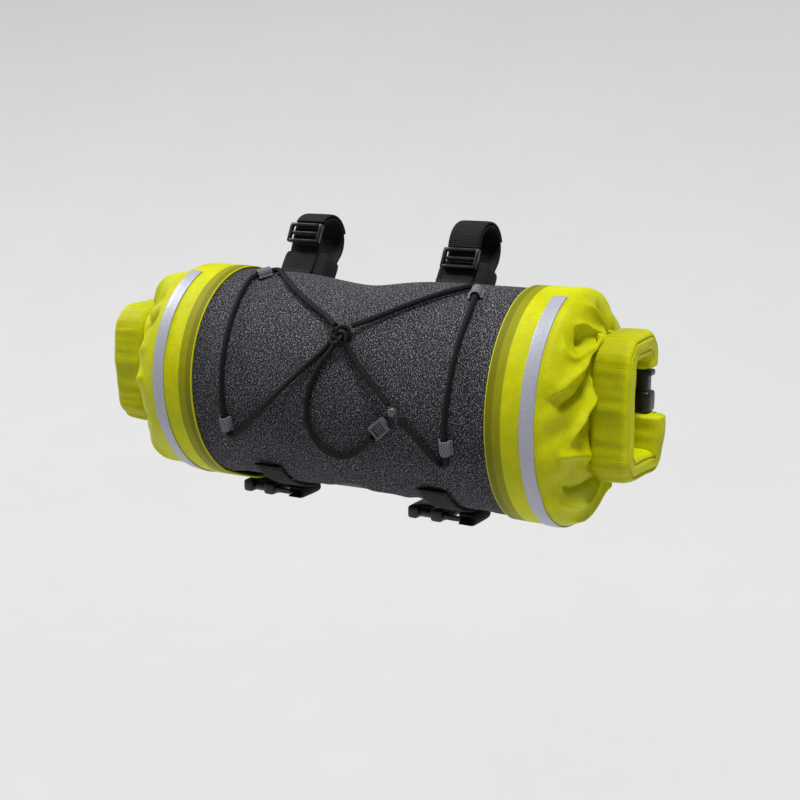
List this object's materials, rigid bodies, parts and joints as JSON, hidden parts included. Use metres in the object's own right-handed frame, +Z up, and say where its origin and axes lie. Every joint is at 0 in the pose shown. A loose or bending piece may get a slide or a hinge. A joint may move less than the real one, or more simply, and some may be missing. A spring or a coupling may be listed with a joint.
{
  "type": "bicycle handlebar bag",
  "caption": "Soft roll bag with rolled closures at its ends, elastic lacing and reflective stripes, hung under a handlebar by spacers and webbing straps.",
  "frame": {"origin": "on the axis of the handlebar that holds the bag up, midway between the two bar straps", "axes": "+X along the handlebar and the roll, towards the bag's shorter end; -Y ahead, the laced front; +Z up"},
  "size_m": [0.4276, 0.1651, 0.2077],
  "materials": {
    "grey_cloth": "melange weave",
    "yellow_cloth": "coated ripstop",
    "black_cloth": "coated",
    "reflective_tape": "silver reflective",
    "webbing": "woven",
    "grey_webbing": "woven",
    "black_plastic": "fine satin",
    "foam": "matte foam",
    "elastic": "braided",
    "clear_plastic": "smoky translucent"
  },
  "bodies": {
    "root": {"front_panel": "grey_cloth", "base_panel": "black_cloth", "end_left": "yellow_cloth", "end_right": "yellow_cloth", "stripe_left": "reflective_tape", "stripe_right": "reflective_tape", "closure_left": "yellow_cloth", "closure_right": "yellow_cloth", "closure_buckle_left": "black_plastic", "closure_buckle_right": "black_plastic", "spacer_left": "foam", "spacer_right": "foam", "bar_strap_left": "webbing", "bar_strap_right": "webbing", "strap_tail_left": "webbing", "strap_tail_right": "webbing", "ladder_lock_left": "black_plastic", "ladder_lock_right": "black_plastic", "underside_tab_left": "webbing", "underside_tab_right": "webbing", "buckle_socket_left": "black_plastic", "buckle_socket_right": "black_plastic", "buckle_plug_left": "black_plastic", "buckle_plug_right": "black_plastic", "strap_fold_left": "webbing", "strap_fold_right": "webbing", "cord_tab_top_left": "grey_webbing", "cord_tab_bottom_left": "grey_webbing", "cord_tab_top_right": "grey_webbing", "cord_tab_bottom_right": "grey_webbing", "elastic_left": "elastic", "elastic_right": "elastic", "elastic_return": "elastic", "hanging_loop": "elastic", "centre_knot": "elastic", "bead": "clear_plastic", "cord_lock": "clear_plastic"}
  },
  "joints": []
}
